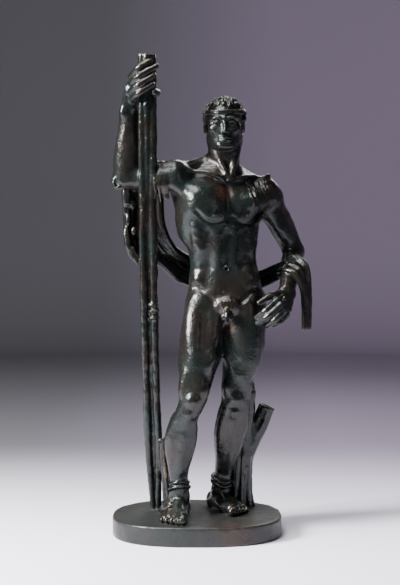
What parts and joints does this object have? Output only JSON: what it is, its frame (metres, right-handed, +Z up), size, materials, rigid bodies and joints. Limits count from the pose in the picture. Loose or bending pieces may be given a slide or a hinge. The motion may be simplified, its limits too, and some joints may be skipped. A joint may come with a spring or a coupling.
{
  "type": "athlete statue",
  "caption": "Bronze statue of a standing nude athlete holding a bundle of rods, with a mantle, a tree-stump support and an oval base.",
  "frame": {"origin": "centre of the oval base's flat underside", "axes": "+Z up, +Y away from the viewer, +X to the viewer's right; the figure faces -Y"},
  "size_m": [0.3381, 0.236, 0.8],
  "materials": {
    "patinated_bronze": "dark green-brown patina, waxed to a soft gloss"
  },
  "bodies": {
    "root": {"athlete_statue": "patinated_bronze"}
  },
  "joints": []
}
